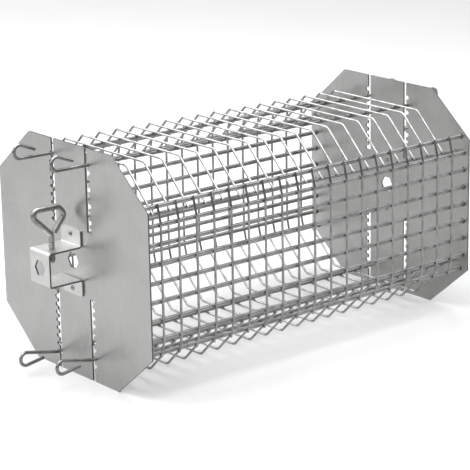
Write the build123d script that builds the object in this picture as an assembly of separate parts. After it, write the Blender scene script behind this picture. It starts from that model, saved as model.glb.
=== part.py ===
from build123d import *
import math
import os

# Adjustable rotisserie basket. Millimetres, X along the spit, Y to the back, Z up.
# The origin is on the spit axis, halfway between the two end plates.

# Basket
basketLength = 358.0          # over the outer faces of the end plates
basketHeight = 200.0
basketWidth = 210.8
plateSheet = 1.5
topHalfFlat = 58.2            # half length of the top and bottom edges
sideHalfFlat = 60.7           # half length of the upright edges
plateCorner = 2.0
spitAcrossFlats = 13.0
plateOuter = basketLength / 2
plateInner = plateOuter - plateSheet

# Wire
longWire = 1.5                # radius of the looped wires and the edge wires
wallWire = 1.9                # radius of the long wires of the side walls
crossWire = 1.0               # radius of every wire that runs across the basket
weldSink = 0.1                # how far two welded wires sink into each other
crossing = longWire + crossWire - weldSink
wallCrossing = wallWire + crossWire - weldSink

# Notched slots
notchPitch = 7.0
notchCount = 9
wireGap = 0.2                 # loose fit of a looped wire in its notch
slotInner = 22.0              # distance of the straight edge from the centre line
notchMouth = 1.6              # straight part of a notch, from the channel to its round end
firstNotch = 86.5
notchRadius = longWire + wireGap
slotOuter = slotInner + 2 * notchRadius
notchY = slotOuter + notchMouth    # distance of a resting looped wire from the centre line
lastNotch = firstNotch - notchPitch * (notchCount - 1)
toothCorner = 1.2

# Cages
pitchX = 18.0
hoopCount = 19
hoopHalfFlat = 55.5
chamferOut = 35.0
chamferDrop = 34.0
hoopBend = 5.0
edgeInset = 2.0               # edge wire from the end of a hoop, along the hoop
plateClearance = 1.5          # end of an edge wire from a plate

# Finger loops at the ends of the looped wires
topLoopReach = 35.5
bottomLoopReach = 38.2
loopRadius = 5.4
loopHeight = 11.2
loopTail = 15.0
loopSlope = 21.0
loopLead = 3.0
topShankRise = 0.0
bottomShankRise = 12.0

# How the cages hang: notch of the left end, notch of the right end
topNotches = (0, 1)
bottomNotches = (0, 0)
sprungNotch = 1               # the bottom cage's front wire sits one notch nearer the spit at its left end
sprungStart = 5.0             # from the outer face of the plate
sprungEnd = 13.5

# Side walls
wallHalfWidth = 102.0         # upright wires, where they stand straight
rowPitch = 15.8
rowCentre = 0.8
straightRows = 7
topCell = 15.8
bottomCell = 14.4
wallLean = 15.0
leanBend = 6.0
kneeGap = 1.5                 # from the last straight row to the bend
uprightShift = -1.8
uprightOverhang = 2.0

# Spit brackets
bracketReach = 33.0
bracketHalfWidth = 13.8
boxHalfHeight = 15.0
flangeHalfHeight = 28.5
bracketBend = 1.0
flangeCorner = 2.0

# Rivets
rivetZ = 23.5
rivetRadius = 1.2
headRadius = 2.3
headHeight = 1.0
tailHeight = 0.8
mandrelRadius = 0.75
mandrelDepth = 2.4
fitGap = 0.05                 # radial gap of a rivet or a screw in its hole

# Clamp screws
screwRadius = 2.5
screwX = 20.4                 # from the outer face of the plate
tipZ = 2.5
tipChamfer = 0.8
cutZ = 20.5                   # where the thread begins
eyeStartZ = 26.5
eyeLeft = 18.2
eyeRight = 13.8
eyeLeftZ = 44.0
eyeTopZ = 49.0
eyeRightZ = 41.5
eyeEnd = (2.8, 27.5)
eyeBend = 4.8


def bentRod(points, bend, radius):
    """A round rod through the points, each corner bent to the given radius."""
    pts = [Vector(*p) for p in points]
    pieces = []
    here = pts[0]
    for before, corner, after in zip(pts, pts[1:], pts[2:]):
        into = (corner - before).normalized()
        out = (after - corner).normalized()
        half = math.radians(into.get_angle(out)) / 2
        reach = bend * math.tan(half)
        start = corner - into * reach
        end = corner + out * reach
        inward = (out - into).normalized()
        middle = corner + inward * (bend / math.cos(half) - bend)
        if (start - here).length > 1e-4:
            pieces.append(Line(here, start))
        pieces.append(ThreePointArc(start, middle, end))
        here = end
    pieces.append(Line(here, pts[-1]))
    path = Wire(pieces)
    section = Plane(origin=pts[0], z_dir=pts[1] - pts[0]) * Circle(radius)
    return sweep(section, path=path)


def straightRod(start, end, radius):
    """A straight round rod between two points."""
    along = Vector(*end) - Vector(*start)
    section = Plane(origin=Vector(*start), z_dir=along) * Circle(radius)
    return extrude(section, along.length)


def save(name, shape):
    """Write one named piece."""
    solids = shape.solids()
    if len(solids) == 1:
        export_step(solids[0], f"parts/{name}.step")
    else:
        export_step(Compound(children=list(solids)), f"parts/{name}.step")


# End plates

def slotFace():
    """One slot in the upper half, front side positive: a channel with its row of notches."""
    height = basketHeight / 2 + 10 - (lastNotch - notchRadius)
    channel = Pos((slotInner + slotOuter) / 2, lastNotch - notchRadius + height / 2)
    face = channel * Rectangle(slotOuter - slotInner, height)
    for i in range(notchCount):
        z = firstNotch - i * notchPitch
        mouth = Pos((slotInner + notchY) / 2, z) * Rectangle(notchY - slotInner, 2 * notchRadius)
        face += mouth
        face += Pos(notchY, z) * Circle(notchRadius)
    teeth = [v for v in face.vertices() if abs(v.X - slotOuter) < 1e-4 and v.Y < firstNotch + 3]
    return fillet(teeth, toothCorner)


def endPlate():
    """One end plate, from x = 0 inward along +X."""
    h = basketHeight / 2
    w = basketWidth / 2
    corners = [
        (topHalfFlat, h), (w, sideHalfFlat), (w, -sideHalfFlat), (topHalfFlat, -h),
        (-topHalfFlat, -h), (-w, -sideHalfFlat), (-w, sideHalfFlat), (-topHalfFlat, h),
    ]
    face = make_face(Polyline(*corners, close=True))
    face = fillet(face.vertices(), plateCorner)
    slot = slotFace()
    for shape in (slot, mirror(slot, Plane.YZ)):
        face -= shape
        face -= mirror(shape, Plane.XZ)
    face -= RegularPolygon(spitAcrossFlats / 2, 6, major_radius=False)
    for side in (1, -1):
        face -= Pos(0, side * rivetZ) * Circle(rivetRadius + fitGap)
    return extrude(Plane.YZ * face, plateSheet)


os.makedirs("parts", exist_ok=True)
plate = endPlate()
save("left_end_plate", Pos(-plateOuter, 0, 0) * plate)
save("right_end_plate", Pos(plateInner, 0, 0) * plate)


# Spit brackets and their rivets

def spitBracket():
    """One hat-shaped bracket, its flanges on x = 0 and its box toward -X."""
    t = plateSheet
    reach = bracketReach
    box = boxHalfHeight
    flange = flangeHalfHeight
    outline = [
        (0, flange), (-t, flange), (-t, box), (-reach, box),
        (-reach, -box), (-t, -box), (-t, -flange), (0, -flange),
        (0, t - box), (t - reach, t - box), (t - reach, box - t), (0, box - t),
    ]
    profile = make_face(Polyline(*outline, close=True))
    outer = [v for v in profile.vertices() if abs(v.X + reach) < 1e-4]
    outer += [v for v in profile.vertices() if abs(v.X) < 1e-4 and abs(v.Y) < box]
    profile = fillet(outer, bracketBend + t)
    inner = [v for v in profile.vertices() if abs(v.X - t + reach) < 1e-4]
    inner += [v for v in profile.vertices() if abs(v.X + t) < 1e-4 and abs(v.Y) < box + 1]
    profile = fillet(inner, bracketBend)
    hat = extrude(Plane.XZ * profile, bracketHalfWidth, both=True)
    ends = [
        e for e in hat.edges().filter_by(Axis.X)
        if abs(abs(e.center().Z) - flange) < 1e-4
    ]
    hat = fillet(ends, flangeCorner)
    hexagon = RegularPolygon(spitAcrossFlats / 2, 6, major_radius=False)
    hat -= extrude(Plane.YZ.offset(-reach - 1) * hexagon, t + 2)
    screwHole = Pos(-screwX, 0, box - t / 2) * Cylinder(screwRadius + fitGap, t * 2)
    hat -= screwHole
    for side in (1, -1):
        hole = Pos(-t / 2, 0, side * rivetZ) * Rot(0, 90, 0)
        hat -= hole * Cylinder(rivetRadius + fitGap, t * 2)
    return hat


def rivet():
    """One blind rivet through bracket and plate, the plate's outer face on x = 0."""
    grip = 2 * plateSheet
    profile = Polyline(
        (0, plateSheet + tailHeight), (headRadius * 0.8, plateSheet + tailHeight),
        (headRadius * 0.8, plateSheet), (rivetRadius, plateSheet),
        (rivetRadius, plateSheet - grip), (headRadius, plateSheet - grip),
        (headRadius, plateSheet - grip - 0.2),
    )
    dome = ThreePointArc(
        (headRadius, plateSheet - grip - 0.2),
        (headRadius * 0.62, plateSheet - grip - headHeight * 0.82),
        (0, plateSheet - grip - headHeight),
    )
    spine = Line((0, plateSheet - grip - headHeight), (0, plateSheet + tailHeight))
    face = make_face([profile, dome, spine])
    body = revolve(face, Axis.Y)
    top = plateSheet - grip - headHeight
    body -= Pos(0, top, 0) * Rot(90, 0, 0) * Cylinder(mandrelRadius, 2 * mandrelDepth)
    return Rot(0, 0, -90) * body


bracket = spitBracket()
rivets = [Pos(0, 0, side * rivetZ) * rivet() for side in (1, -1)]
leftPlace = Pos(-plateOuter, 0, 0)
rightPlace = Pos(plateOuter, 0, 0) * Rot(0, 0, 180)
for name, place in (("left", leftPlace), ("right", rightPlace)):
    save(f"{name}_spit_bracket", place * bracket)
    save(f"{name}_bracket_rivets", Compound(children=[place * r for r in rivets]))


# Clamp screws: one bent rod each, cut where the thread begins

def clampThread():
    """The threaded end, through the top of the bracket."""
    rod = Pos(-screwX, 0, (tipZ + cutZ) / 2) * Cylinder(screwRadius, cutZ - tipZ)
    tip = rod.edges().filter_by(GeomType.CIRCLE).sort_by(Axis.Z)[0]
    return chamfer(tip, tipChamfer)


def clampEye():
    """The bent eye, in the plane of the spit."""
    points = [
        (-screwX, 0, cutZ), (-screwX, 0, eyeStartZ), (-screwX - eyeLeft, 0, eyeLeftZ),
        (-screwX - eyeLeft + 3.5, 0, eyeTopZ), (-screwX + 7.5, 0, eyeTopZ),
        (-screwX + eyeRight, 0, eyeRightZ), (-screwX + eyeEnd[0], 0, eyeEnd[1]),
    ]
    return bentRod(points, eyeBend, screwRadius)


thread = clampThread()
eye = clampEye()
for name, place in (("left", leftPlace), ("right", rightPlace)):
    save(f"{name}_clamp_thread", place * thread)
    save(f"{name}_clamp_eye", place * eye)


# Side walls

def wallProfile():
    """Upright wire of the back wall as (y, z) corners, and the (y, z) of every long wire."""
    lean = math.radians(wallLean)
    inside = wallHalfWidth - wallCrossing
    reach = (straightRows - 1) / 2 * rowPitch
    rows = [(inside, rowCentre - reach + i * rowPitch) for i in range(straightRows)]
    corners = []
    for sign, cell in ((-1, bottomCell), (1, topCell)):
        kneeZ = rowCentre + sign * (reach + kneeGap)
        run = cell - kneeGap
        y = wallHalfWidth - run * math.sin(lean)
        z = kneeZ + sign * run * math.cos(lean)
        inY = wallCrossing * math.cos(lean)
        inZ = wallCrossing * math.sin(lean)
        rows.append((y - inY, z - sign * inZ))
        tip = run + uprightOverhang
        end = (wallHalfWidth - tip * math.sin(lean), kneeZ + sign * tip * math.cos(lean))
        knee = (wallHalfWidth, kneeZ)
        corners.append([end, knee])
    return corners[0] + corners[1][::-1], rows


corners, rows = wallProfile()
uprightXs = [(i - (hoopCount - 1) / 2) * pitchX + uprightShift for i in range(hoopCount)]
for name, side in (("back", 1), ("front", -1)):
    longs = [
        straightRod((-plateInner, side * y, z), (plateInner, side * y, z), wallWire)
        for y, z in rows
    ]
    upright = bentRod([(0, side * y, z) for y, z in corners], leanBend, crossWire)
    save(f"{name}_wall_long_wires", Compound(children=longs))
    uprights = [Pos(x, 0, 0) * upright for x in uprightXs]
    save(f"{name}_wall_upright_wires", Compound(children=uprights))


# Cages. Both are made as a top cage with the axes of the looped wires on z = 0.

def loopPoints(reach, rise):
    """Corners of one finger loop: distance out from the plate's outer face, height."""
    slope = math.radians(loopSlope)
    lean = math.radians(rise)
    corner = loopHeight - loopRadius + loopRadius * (1 + math.sin(slope)) / math.cos(slope)
    tail = corner - (reach - loopTail) * math.tan(slope)
    raw = [(reach, 0.0), (reach, corner), (loopTail, tail)]
    turned = [(loopLead, 0.0)]
    for u, w in raw:
        du = u - loopLead
        turned.append((
            loopLead + du * math.cos(lean) + w * math.sin(lean),
            w * math.cos(lean) - du * math.sin(lean),
        ))
    return turned if rise else turned[1:]


def loopedWire(y, reach, rise, sprung):
    """One looped long wire. Sprung wires step inward by whole notches at their left end."""
    step = -sprung * notchPitch
    left = [(-plateOuter - u, y, w + step) for u, w in reversed(loopPoints(reach, rise))]
    if sprung:
        left += [(-plateOuter + sprungStart, y, step), (-plateOuter + sprungEnd, y, 0)]
    right = [(plateOuter + u, y, w) for u, w in loopPoints(reach, rise)]
    return bentRod(left + right, loopRadius, longWire)


def hoop():
    """One hoop, resting on the looped wires."""
    z = crossing
    end = hoopHalfFlat + chamferOut
    points = [
        (0, -end, z - chamferDrop), (0, -hoopHalfFlat, z),
        (0, hoopHalfFlat, z), (0, end, z - chamferDrop),
    ]
    return bentRod(points, hoopBend, crossWire)


def edgeWire(side):
    """One edge wire, inside the ends of the hoops."""
    slant = math.hypot(chamferOut, chamferDrop)
    alongY, alongZ = chamferOut / slant, -chamferDrop / slant
    y = hoopHalfFlat + chamferOut - edgeInset * alongY + crossing * alongZ
    z = crossing - chamferDrop - edgeInset * alongZ - crossing * alongY
    end = plateInner - plateClearance
    return straightRod((-end, side * y, z), (end, side * y, z), longWire)


def saveCage(cage, reach, rise, sprungFront, facing, place):
    """Write the twenty-three pieces of one cage. Facing is -1 for a cage that will be turned over."""
    for side, name in ((-1, "front"), (1, "back")):
        sprung = sprungFront if side < 0 else 0
        wire = loopedWire(side * facing * notchY, reach, rise, sprung)
        save(f"{cage}_{name}_looped_wire", place * wire)
        save(f"{cage}_{name}_edge_wire", place * edgeWire(side * facing))
    ring = hoop()
    for i in range(hoopCount):
        x = (i - (hoopCount - 1) / 2) * pitchX
        save(f"{cage}_hoop_{i + 1:02d}", place * Pos(x, 0, 0) * ring)


def hung(notches):
    """Height and tilt of a cage whose ends hang in the given notches."""
    leftZ, rightZ = (firstNotch - n * notchPitch for n in notches)
    tilt = math.degrees(math.atan2(leftZ - rightZ, plateOuter + plateInner))
    return Pos(0, 0, (leftZ + rightZ) / 2) * Rot(0, tilt, 0)


flip = Rot(180, 0, 0)
saveCage("top_cage", topLoopReach, topShankRise, 0, 1, hung(topNotches))
turned = flip * hung(bottomNotches)
saveCage("bottom_cage", bottomLoopReach, bottomShankRise, sprungNotch, -1, turned)
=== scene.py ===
import bpy
import bmesh
import math
from mathutils import Matrix, Vector


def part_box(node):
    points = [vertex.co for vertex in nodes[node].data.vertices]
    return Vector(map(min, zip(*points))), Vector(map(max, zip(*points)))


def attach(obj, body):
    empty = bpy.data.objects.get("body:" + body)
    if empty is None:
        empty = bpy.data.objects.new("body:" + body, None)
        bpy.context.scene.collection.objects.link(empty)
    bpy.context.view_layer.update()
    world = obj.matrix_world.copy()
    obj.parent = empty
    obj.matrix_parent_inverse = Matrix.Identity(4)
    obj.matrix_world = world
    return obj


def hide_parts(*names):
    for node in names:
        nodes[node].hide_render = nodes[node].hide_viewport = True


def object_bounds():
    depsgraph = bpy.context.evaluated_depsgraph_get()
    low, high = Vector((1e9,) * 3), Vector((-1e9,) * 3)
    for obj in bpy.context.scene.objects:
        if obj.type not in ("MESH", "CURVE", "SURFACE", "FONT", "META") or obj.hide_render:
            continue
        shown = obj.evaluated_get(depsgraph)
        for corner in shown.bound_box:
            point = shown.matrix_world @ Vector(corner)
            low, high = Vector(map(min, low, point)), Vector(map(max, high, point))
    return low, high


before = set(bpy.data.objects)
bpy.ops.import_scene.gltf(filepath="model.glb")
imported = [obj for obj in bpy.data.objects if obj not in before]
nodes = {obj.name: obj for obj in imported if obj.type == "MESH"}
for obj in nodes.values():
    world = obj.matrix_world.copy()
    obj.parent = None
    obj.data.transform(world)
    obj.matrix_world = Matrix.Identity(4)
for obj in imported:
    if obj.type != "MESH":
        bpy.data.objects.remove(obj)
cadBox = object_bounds()
print("frame loaded:", len(nodes), "nodes")

mm = 0.001


# Materials

def fromHex(text, alpha=1.0):
    # sRGB hex to linear colour
    parts = [int(text[i:i + 2], 16) / 255 for i in (1, 3, 5)]
    linear = [c / 12.92 if c <= 0.04045 else ((c + 0.055) / 1.055) ** 2.4 for c in parts]
    return (*linear, alpha)


def addNode(tree, kind, settings=None, inputs=None):
    # a node with its settings, its values and its links: an input that is a socket is linked
    node = tree.nodes.new(kind)
    for name, value in (settings or {}).items():
        setattr(node, name, value)
    for name, value in (inputs or {}).items():
        if isinstance(value, bpy.types.NodeSocket):
            tree.links.new(value, node.inputs[name])
        else:
            node.inputs[name].default_value = value
    return node


def newMaterial(name):
    material = bpy.data.materials.new(name)
    material.use_nodes = True
    tree = material.node_tree
    tree.nodes.clear()
    return material, tree


def finishMaterial(tree, shader):
    addNode(tree, "ShaderNodeOutputMaterial", None, {"Surface": shader.outputs[0]})


def rampOf(tree, socket, stops):
    ramp = addNode(tree, "ShaderNodeValToRGB", None, {"Fac": socket})
    while len(ramp.color_ramp.elements) < len(stops):
        ramp.color_ramp.elements.new(0.5)
    for element, (place, colour) in zip(ramp.color_ramp.elements, stops):
        element.position = place
        element.color = colour
    return ramp.outputs["Color"]


plateSheetSteel = {
    "light": "#C8C8C7",
    "dark": "#B5B5B4",
    "edge": "#7C7B79",
    "grainWidth": 0.45,      # mm; the real scratches are 0.1 mm, too fine to show, so drawn coarser
    "grainStretch": 0.025,
    "roughLow": 0.26,
    "roughHigh": 0.42,
    "bump": 0.08,
    "smudge": 38.0,          # mm
    "smudgeShare": 0.45,     # of the pattern; the grain is the rest
    "colourSpan": (0.38, 0.62),   # of the pattern, from dark to light
    "roughSpan": (0.35, 0.65),    # of the pattern, from smooth to rough
    "edgeTurn": 0.7,         # how far a normal turns before the face counts as a cut edge
}
bracketSheetSteel = {
    **plateSheetSteel,
    "light": "#E6E6E5",
    "dark": "#D2D2D1",
    "edge": "#82817F",
    "grainWidth": 0.4,
    "grainStretch": 0.05,
    "roughLow": 0.3,
    "roughHigh": 0.45,
    "smudge": 14.0,
}


def brushedSheet(name, look, grainAxis, edgeAxis):
    # AISI 304 sheet, No. 4 brushed: fine straight scratches that spread a highlight across the grain;
    # the sheared edges are duller and darker
    material, tree = newMaterial(name)
    place = addNode(tree, "ShaderNodeTexCoord")
    stretch = [1.0, 1.0, 1.0]
    stretch[grainAxis] = look["grainStretch"]
    along = addNode(tree, "ShaderNodeMapping", None,
                    {"Vector": place.outputs["Object"], "Scale": stretch})
    grain = addNode(tree, "ShaderNodeTexNoise", None, {
        "Vector": along.outputs[0], "Scale": 1 / (look["grainWidth"] * mm),
        "Detail": 3.0, "Roughness": 0.6})
    smudge = addNode(tree, "ShaderNodeTexNoise", None, {
        "Vector": place.outputs["Object"], "Scale": 1 / (look["smudge"] * mm),
        "Detail": 2.0, "Roughness": 0.5})
    smudged = addNode(tree, "ShaderNodeMath", {"operation": "MULTIPLY"}, {
        0: smudge.outputs["Fac"], 1: look["smudgeShare"]})
    mixed = addNode(tree, "ShaderNodeMath", {"operation": "MULTIPLY_ADD"}, {
        0: grain.outputs["Fac"], 1: 1 - look["smudgeShare"], 2: smudged.outputs[0]})
    darkEnd, lightEnd = look["colourSpan"]
    colour = rampOf(tree, mixed.outputs[0], [
        (darkEnd, fromHex(look["dark"])), (lightEnd, fromHex(look["light"]))])
    smoothEnd, roughEnd = look["roughSpan"]
    rough = addNode(tree, "ShaderNodeMapRange", None, {
        "Value": mixed.outputs[0], "From Min": smoothEnd, "From Max": roughEnd,
        "To Min": look["roughLow"], "To Max": look["roughHigh"]})
    # faces that look along the sheet are its cut edges
    parts = addNode(tree, "ShaderNodeSeparateXYZ", None, {"Vector": place.outputs["Normal"]})
    facing = addNode(tree, "ShaderNodeMath", {"operation": "ABSOLUTE"}, {0: parts.outputs[edgeAxis[0]]})
    cut = addNode(tree, "ShaderNodeMath", {"operation": edgeAxis[1]}, {
        0: facing.outputs[0], 1: look["edgeTurn"]})
    worn = addNode(tree, "ShaderNodeMix", {"data_type": "RGBA"}, {
        "Factor": cut.outputs[0], 6: colour, 7: fromHex(look["edge"])})
    bump = addNode(tree, "ShaderNodeBump", None, {
        "Height": grain.outputs["Fac"], "Strength": look["bump"], "Distance": 0.1 * mm})
    shader = addNode(tree, "ShaderNodeBsdfPrincipled", None, {
        "Base Color": worn.outputs[2], "Metallic": 1.0, "Roughness": rough.outputs[0],
        "Normal": bump.outputs[0]})
    finishMaterial(tree, shader)
    return material


longWireLook = {
    "light": "#C6C6C5",
    "dark": "#A5A5A4",
    "drawMark": 0.35,        # mm; drawn coarser than the real 0.05 mm
    "roughLow": 0.13,
    "roughHigh": 0.24,
    "markStretch": 0.05,
    "bump": 0.08,
    "patch": 11.0,           # mm
    "colourSpan": (0.35, 0.62),   # of the patches, from dark to light
    "roughSpan": (0.3, 0.7),      # of the marks, from smooth to rough
}
# painted shade: a darker copy of the long wire's steel, so the looped wires come out darker than the same
# steel elsewhere
loopedWireShadedLook = {**longWireLook, "light": "#AEAEAD", "dark": "#8C8C8B"}
crossWireLook = {**longWireLook, "light": "#C8C8C7", "dark": "#A8A8A7", "patch": 7.0}
uprightLook = {**longWireLook, "light": "#BFBFBE", "dark": "#9C9C9B", "patch": 8.0}
screwLook = {
    **longWireLook, "light": "#B2B1AE", "dark": "#9B9996",
    "roughLow": 0.2, "roughHigh": 0.3, "bump": 0.04, "patch": 9.0,
}
rivetLook = {**screwLook, "light": "#B5B5B4", "dark": "#8E8E8D"}
# dark grey for the welds, most of it painted contact shade at the crossings and wire ends
weldShadeLook = {
    **longWireLook, "light": "#747270", "dark": "#484645",
    "roughLow": 0.35, "roughHigh": 0.55, "patch": 1.5,
}
# near black: painted shade of the hole in each rivet head, on a real mandrel end
mandrelShadeLook = {**weldShadeLook, "light": "#4A4847", "dark": "#2B2A2A"}


def drawnSteel(name, look, runAxis):
    # bright drawn 304, electropolished: nearly a mirror, with faint marks along the run and duller patches
    material, tree = newMaterial(name)
    place = addNode(tree, "ShaderNodeTexCoord")
    stretch = [1.0, 1.0, 1.0]
    if runAxis is not None:
        stretch[runAxis] = look["markStretch"]
    along = addNode(tree, "ShaderNodeMapping", None,
                    {"Vector": place.outputs["Object"], "Scale": stretch})
    marks = addNode(tree, "ShaderNodeTexNoise", None, {
        "Vector": along.outputs[0], "Scale": 1 / (look["drawMark"] * mm),
        "Detail": 2.0, "Roughness": 0.5})
    patches = addNode(tree, "ShaderNodeTexNoise", None, {
        "Vector": place.outputs["Object"], "Scale": 1 / (look["patch"] * mm), "Detail": 2.0})
    darkEnd, lightEnd = look["colourSpan"]
    colour = rampOf(tree, patches.outputs["Fac"], [
        (darkEnd, fromHex(look["dark"])), (lightEnd, fromHex(look["light"]))])
    smoothEnd, roughEnd = look["roughSpan"]
    rough = addNode(tree, "ShaderNodeMapRange", None, {
        "Value": marks.outputs["Fac"], "From Min": smoothEnd, "From Max": roughEnd,
        "To Min": look["roughLow"], "To Max": look["roughHigh"]})
    bump = addNode(tree, "ShaderNodeBump", None, {
        "Height": marks.outputs["Fac"], "Strength": look["bump"], "Distance": 0.05 * mm})
    shader = addNode(tree, "ShaderNodeBsdfPrincipled", None, {
        "Base Color": colour, "Metallic": 1.0, "Roughness": rough.outputs[0],
        "Normal": bump.outputs[0]})
    finishMaterial(tree, shader)
    return material


plateSteel = brushedSheet("brushedStainlessPlate", plateSheetSteel, 2, (0, "LESS_THAN"))
bracketSteel = brushedSheet("satinStainlessBracket", bracketSheetSteel, 1, (1, "GREATER_THAN"))
longWireSteel = drawnSteel("brightDrawnStainlessLongWire", longWireLook, 0)
# the looped wires' darker steel is painted shade
loopedWireShadedSteel = drawnSteel("shadedStainlessLoopedWire", loopedWireShadedLook, 0)
crossWireSteel = drawnSteel("brightDrawnStainlessHoop", crossWireLook, None)
uprightSteel = drawnSteel("drawnStainlessUpright", uprightLook, 2)
screwSteel = drawnSteel("rolledStainlessScrew", screwLook, None)
rivetSteel = drawnSteel("pressedStainlessRivet", rivetLook, None)
# resistance welds, left as they cooled; their dark grey is also painted contact shade where the wires
# cross and where the wall wires end on the plates
weldShadedSteel = drawnSteel("spotWeldPaintedShade", weldShadeLook, None)
# a dull broken end, deep in the rivet's head; its near-black colour is painted shade of the hole it sits
# in
mandrelShadedSteel = drawnSteel("snappedRivetMandrelShaded", mandrelShadeLook, None)

# the first word that a node's name holds decides its metal
finishOf = {
    "end_plate": plateSteel,
    "spit_bracket": bracketSteel,
    "upright": uprightSteel,
    "hoop": crossWireSteel,
    "rivets": rivetSteel,
    "clamp": screwSteel,
    "looped": loopedWireShadedSteel,
    "wire": longWireSteel,
}
for name, node in nodes.items():
    material = next(steel for word, steel in finishOf.items() if word in name)
    node.data.materials.clear()
    node.data.materials.append(material)
print("materials set")


# Pieces that the CAD leaves out

wires = {                    # mm and degrees
    "wallRadius": 1.9,
    "cageRadius": 1.5,
    "hoopThickness": 2.0,
    "hoopCount": 19,
    "apart": 4.0,            # a wider gap than this is between two wires
    "near": 3.0,             # a vertex this near a wire's middle is its own
    "wallLean": 15.0,        # of the uprights' ends, where the outermost long wires cross them
    "hoopSlope": 44.0,       # of a hoop where it meets an edge wire
}


def newPiece(name, mesh, material, smooth=True):
    data = bpy.data.meshes.new(name)
    bmesh.ops.recalc_face_normals(mesh, faces=mesh.faces)
    mesh.to_mesh(data)
    mesh.free()
    for face in data.polygons:
        face.use_smooth = smooth
    data.materials.append(material)
    piece = bpy.data.objects.new(name, data)
    bpy.context.scene.collection.objects.link(piece)
    return piece


def verticesOf(name):
    return [v.co for v in nodes[name].data.vertices]


def middleOf(values):
    return (min(values) + max(values)) / 2


def wireCentres(name, axis):
    # middle of each separate wire of a node along the given axis, from the spread of its vertices
    points = sorted(p[axis] for p in verticesOf(name))
    groups = [[points[0]]]
    for value in points[1:]:
        if value - groups[-1][-1] > wires["apart"] * mm:
            groups.append([])
        groups[-1].append(value)
    return [middleOf(group) for group in groups]


def aimed(place, axis):
    # moves to a place, with Z turned to the given axis
    return Matrix.Translation(place) @ Vector(axis).to_track_quat("Z", "Y").to_matrix().to_4x4()


def taperedDisc(mesh, foot, top, height, sides, centre, axis):
    # widens or narrows from its foot to its top along the axis; sizes in mm, centre in metres
    disc = bmesh.ops.create_cone(mesh, cap_ends=True, segments=sides,
                                 radius1=foot * mm, radius2=top * mm, depth=height * mm)
    bmesh.ops.transform(mesh, matrix=aimed(centre, axis), verts=disc["verts"])


# clamp screws: the M5 thread
clampThread = {              # mm
    "crest": 2.5,
    "depth": 0.49,
    "pitch": 0.8,
    "rootFlat": 0.12,        # this and the crest's two are shares of the pitch
    "crestStart": 0.5,
    "crestEnd": 0.62,
    "steps": 24,
    "tipRadius": 1.7,
    "tipLength": 0.9,
    "tipOverlap": 1.6,       # times tipLength, so the cone's wide end is hidden in the thread
    "tipGrow": 0.1,          # over the root, so no gap shows
    "coreGrow": 0.02,
}


def screwThread(name, look, centreX, lowZ, highZ):
    # a zigzag spun once round while it climbs one pitch, so each turn meets the next
    mesh = bmesh.new()
    pitch, crest, steps = look["pitch"], look["crest"], look["steps"]
    root = crest - look["depth"]
    start = lowZ + look["tipLength"]
    turns = int((highZ - start) / pitch) - 1
    profile = []
    for i in range(turns):
        z = start + i * pitch
        profile += [(root, z), (root, z + pitch * look["rootFlat"]),
                    (crest, z + pitch * look["crestStart"]), (crest, z + pitch * look["crestEnd"])]
    profile.append((root, start + turns * pitch))
    verts = [mesh.verts.new((r * mm, 0, z * mm)) for r, z in profile]
    edges = [mesh.edges.new(pair) for pair in zip(verts, verts[1:])]
    bmesh.ops.spin(mesh, geom=verts + edges, cent=(0, 0, 0), axis=(0, 0, 1),
                   dvec=(0, 0, pitch * mm / steps), angle=2 * math.pi, steps=steps, use_merge=False)
    bmesh.ops.remove_doubles(mesh, verts=mesh.verts, dist=0.01 * mm)
    bmesh.ops.holes_fill(mesh, edges=[edge for edge in mesh.edges if edge.is_boundary], sides=0)
    tipDepth = look["tipLength"] * look["tipOverlap"]
    tip = bmesh.ops.create_cone(mesh, cap_ends=True, segments=steps, radius1=look["tipRadius"] * mm,
                                radius2=(root + look["tipGrow"]) * mm, depth=tipDepth * mm)
    bmesh.ops.translate(mesh, verts=tip["verts"], vec=(0, 0, (lowZ + tipDepth / 2) * mm))
    core = bmesh.ops.create_cone(mesh, cap_ends=True, segments=steps,
                                 radius1=(root + look["coreGrow"]) * mm,
                                 radius2=(root + look["coreGrow"]) * mm, depth=(highZ - start) * mm)
    bmesh.ops.translate(mesh, verts=core["verts"], vec=(0, 0, (highZ + start) / 2 * mm))
    bmesh.ops.translate(mesh, verts=mesh.verts, vec=(centreX, 0, 0))
    return newPiece(name, mesh, screwSteel)


for side in ("left", "right"):
    low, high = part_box(f"{side}_clamp_thread")
    thread = screwThread(f"{side}_clamp_screw_thread", clampThread,
                         (low.x + high.x) / 2, low.z / mm, high.z / mm)
    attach(thread, f"{side}_eye")
    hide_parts(f"{side}_clamp_thread")
print("threads cut")


# weld nuggets where the wires cross
spotWeld = {
    "width": 1.5,            # mm, half sizes of a nugget
    "height": 0.75,
    "sides": 8,
    "rings": 5,
}


def weldNuggets(name, look, places, body):
    mesh = bmesh.new()
    squash = look["height"] / look["width"]
    for place, across in places:
        ball = bmesh.ops.create_uvsphere(mesh, u_segments=look["sides"], v_segments=look["rings"],
                                         radius=look["width"] * mm)
        flatten = Matrix.Diagonal((1, 1, squash, 1))
        bmesh.ops.transform(mesh, matrix=aimed(place, across) @ flatten, verts=ball["verts"])
    # the nuggets' dark steel paints contact shade at each crossing
    piece = newPiece(name, mesh, weldShadedSteel)
    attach(piece, body)


for side, sign in (("front", -1), ("back", 1)):
    xs = wireCentres(f"{side}_wall_upright_wires", 0)
    zs = wireCentres(f"{side}_wall_long_wires", 2)
    points = verticesOf(f"{side}_wall_long_wires")
    places = []
    for i, z in enumerate(zs):
        near = [p.y for p in points if abs(p.z - z) < wires["near"] * mm]
        y = sum(near) / len(near)
        lean = 0
        if i in (0, len(zs) - 1):
            lean = math.radians(wires["wallLean"]) * (1 if i else -1)
        out = Vector((0, sign * math.cos(lean), math.sin(lean)))
        places += [(Vector((x, y, z)) + out * wires["wallRadius"] * mm, out) for x in xs]
    weldNuggets(f"{side}_wall_spot_welds", spotWeld, places, "frame")

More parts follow.
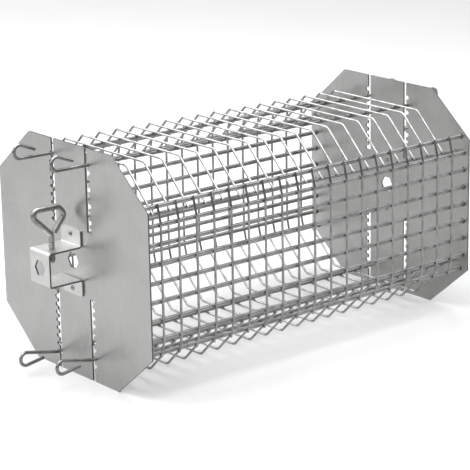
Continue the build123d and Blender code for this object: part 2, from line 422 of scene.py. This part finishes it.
slant = math.radians(wires["hoopSlope"])
for cage, sign in (("top_cage", 1), ("bottom_cage", -1)):
    places = []
    for i in range(1, wires["hoopCount"] + 1):
        low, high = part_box(f"{cage}_hoop_{i:02d}")
        x = (low.x + high.x) / 2
        rest = (high.z if sign > 0 else low.z) - sign * wires["hoopThickness"] * mm
        for side in ("front", "back"):
            loopedLow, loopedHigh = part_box(f"{cage}_{side}_looped_wire")
            places.append((Vector((x, (loopedLow.y + loopedHigh.y) / 2, rest)), (0, 0, sign)))
            # an edge wire is straight but tilted with its cage
            wire = verticesOf(f"{cage}_{side}_edge_wire")
            y = middleOf([p.y for p in wire])
            left, right = ([p for p in wire if p.x * end > 0] for end in (-1, 1))
            leftX, rightX = (middleOf([p.x for p in end]) for end in (left, right))
            leftZ, rightZ = (middleOf([p.z for p in end]) for end in (left, right))
            z = leftZ + (rightZ - leftZ) * (x - leftX) / (rightX - leftX)
            out = Vector((0, math.sin(slant) * (1 if y > 0 else -1), math.cos(slant) * sign))
            places.append((Vector((x, y, z)) + out * wires["cageRadius"] * mm, out))
    weldNuggets(f"{cage}_spot_welds", spotWeld, places, cage)
print("welds set")


# fillet beads where the long wires of the walls end on the plates
plateBead = {
    "foot": 2.7,             # mm
    "top": 1.95,
    "height": 0.9,
    "sides": 16,
}
mesh = bmesh.new()
for side in ("front", "back"):
    points = verticesOf(f"{side}_wall_long_wires")
    endX = max(p.x for p in points)
    for z in wireCentres(f"{side}_wall_long_wires", 2):
        y = middleOf([p.y for p in points if abs(p.z - z) < wires["near"] * mm and p.x > endX - mm])
        for end in (-1, 1):
            taperedDisc(mesh, **plateBead, axis=(-end, 0, 0),
                        centre=(end * (endX - plateBead["height"] / 2 * mm), y, z))
# the beads' dark steel paints contact shade where the wires meet the plates
beads = newPiece("wall_wire_end_welds", mesh, weldShadedSteel, smooth=False)
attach(beads, "frame")
print("beads set")


# rivets: the mandrel that snapped off inside each head
mandrel = {
    "radius": 0.7,           # mm
    "depth": 1.1,            # below the crown of the head
    "length": 1.0,
    "sides": 16,
    "headRadius": 2.3,       # finds the middle of a head from its edge
}
mesh = bmesh.new()
for side, sign in (("left", -1), ("right", 1)):
    low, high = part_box(f"{side}_bracket_rivets")
    crown = low.x if sign < 0 else high.x
    x = crown - sign * (mandrel["depth"] + mandrel["length"] / 2) * mm
    for z in (high.z - mandrel["headRadius"] * mm, low.z + mandrel["headRadius"] * mm):
        taperedDisc(mesh, mandrel["radius"], mandrel["radius"], mandrel["length"], mandrel["sides"],
                    centre=(x, 0, z), axis=(sign, 0, 0))
stubs = newPiece("rivet_mandrel_ends", mesh, mandrelShadedSteel, smooth=False)
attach(stubs, "frame")
print("rivets finished")


# Floor, backdrop and light

stageLook = {
    "floorSize": 16.0,       # m
    "floorPatch": 0.125,     # m
    "floor": "#F8F8F8",
    "floorShade": "#F2F2F2",
    "floorPaintedReflection": "#B8B8B8",   # painted reflection: the grey that the polished metal mirrors and the bounced light carries from the floor, in place of the white the camera sees
    "roughness": 0.25,
    "horizon": "#7A7A7A",    # what the metal sees of the room, by the height of the direction
    "horizonHeight": 0.2,
    "zenith": "#FFFFFF",
    "zenithHeight": 0.75,
    "backdrop": "#FFFFFF",
}

floorMesh = bmesh.new()
bmesh.ops.create_grid(floorMesh, x_segments=1, y_segments=1, size=stageLook["floorSize"] / 2)
bmesh.ops.translate(floorMesh, verts=floorMesh.verts, vec=(0, 0, cadBox[0].z))
floorData = bpy.data.meshes.new("floor")
floorMesh.to_mesh(floorData)
floorMesh.free()
floor = bpy.data.objects.new("floor", floorData)
bpy.context.scene.collection.objects.link(floor)
floorMaterial, tree = newMaterial("whiteAcrylicFloor")
place = addNode(tree, "ShaderNodeTexCoord")
cloudy = addNode(tree, "ShaderNodeTexNoise", None, {
    "Vector": place.outputs["Object"], "Scale": 1 / stageLook["floorPatch"]})
tone = rampOf(tree, cloudy.outputs["Fac"], [
    (0.0, fromHex(stageLook["floorShade"])), (1.0, fromHex(stageLook["floor"]))])
ray = addNode(tree, "ShaderNodeLightPath")
# painted reflection: every ray but the camera's gets the darker floor grey
seen = addNode(tree, "ShaderNodeMix", {"data_type": "RGBA"}, {
    "Factor": ray.outputs["Is Camera Ray"], 6: fromHex(stageLook["floorPaintedReflection"]), 7: tone})
finishMaterial(tree, addNode(tree, "ShaderNodeBsdfPrincipled", None, {
    "Base Color": seen.outputs[2], "Roughness": stageLook["roughness"]}))
floorData.materials.append(floorMaterial)

world = bpy.data.worlds.new("studio")
bpy.context.scene.world = world
world.use_nodes = True
tree = world.node_tree
tree.nodes.clear()
ray = addNode(tree, "ShaderNodeLightPath")
sky = addNode(tree, "ShaderNodeTexCoord")
split = addNode(tree, "ShaderNodeSeparateXYZ", None, {"Vector": sky.outputs["Generated"]})
height = addNode(tree, "ShaderNodeMapRange", None, {
    "Value": split.outputs["Z"],
    "From Min": stageLook["horizonHeight"], "From Max": stageLook["zenithHeight"]})
glow = rampOf(tree, height.outputs[0], [
    (0.0, fromHex(stageLook["horizon"])), (1.0, fromHex(stageLook["zenith"]))])
seen = addNode(tree, "ShaderNodeMix", {"data_type": "RGBA"}, {
    "Factor": ray.outputs["Is Camera Ray"], 6: glow, 7: fromHex(stageLook["backdrop"])})
back = addNode(tree, "ShaderNodeBackground", None, {"Color": seen.outputs[2], "Strength": 1.0})
addNode(tree, "ShaderNodeOutputWorld", None, {"Surface": back.outputs[0]})


studioLights = {             # metres and watts
    "overhead": {"place": (-0.25, 0.7, 1.4), "aim": (-0.25, 0.7, 0), "size": (1.9, 2.8), "power": 36},
    "backLeft": {"place": (-1.4, 1.2, 0.6), "aim": (0, 0, 0), "size": (1.2, 0.9), "power": 6},
    "left": {"place": (-1.6, -0.5, 0.8), "aim": (0, 0, 0), "size": (0.8, 1.0), "power": 2.5},
    "right": {"place": (1.7, -0.3, 0.8), "aim": (0, 0, 0), "size": (0.8, 0.8), "power": 5},
}
for name, look in studioLights.items():
    light = bpy.data.lights.new(name, "AREA")
    light.shape = "RECTANGLE"
    light.size, light.size_y = look["size"]
    light.energy = look["power"]
    lamp = bpy.data.objects.new(name, light)
    lamp.location = look["place"]
    lamp.rotation_mode = "QUATERNION"
    facing = Vector(look["aim"]) - Vector(look["place"])
    lamp.rotation_quaternion = facing.to_track_quat("-Z", "Y")
    bpy.context.scene.collection.objects.link(lamp)


# Camera

cameraLook = {               # metres, degrees and millimetres
    "place": (-1.09657, -1.34403, 0.49554),
    "azimuth": 39.06,
    "elevation": 16.37,
    "roll": -1.105,
    "lens": 156.9,
    "sensor": 36,
    "nearest": 0.01,
}
camera = bpy.data.objects.new("camera", bpy.data.cameras.new("camera"))
bpy.context.scene.collection.objects.link(camera)
azimuth, elevation = (math.radians(cameraLook[k]) for k in ("azimuth", "elevation"))
ahead = Vector((math.sin(azimuth) * math.cos(elevation),
                math.cos(azimuth) * math.cos(elevation), -math.sin(elevation)))
turn = ahead.to_track_quat("-Z", "Y").to_matrix().to_4x4()
camera.matrix_world = (Matrix.Translation(cameraLook["place"]) @ turn
                       @ Matrix.Rotation(math.radians(cameraLook["roll"]), 4, "Z"))
camera.data.lens = cameraLook["lens"]
camera.data.sensor_width = cameraLook["sensor"]
camera.data.clip_start = cameraLook["nearest"]
bpy.context.scene.camera = camera
bpy.context.scene.view_settings.view_transform = "Standard"
print("stage set")
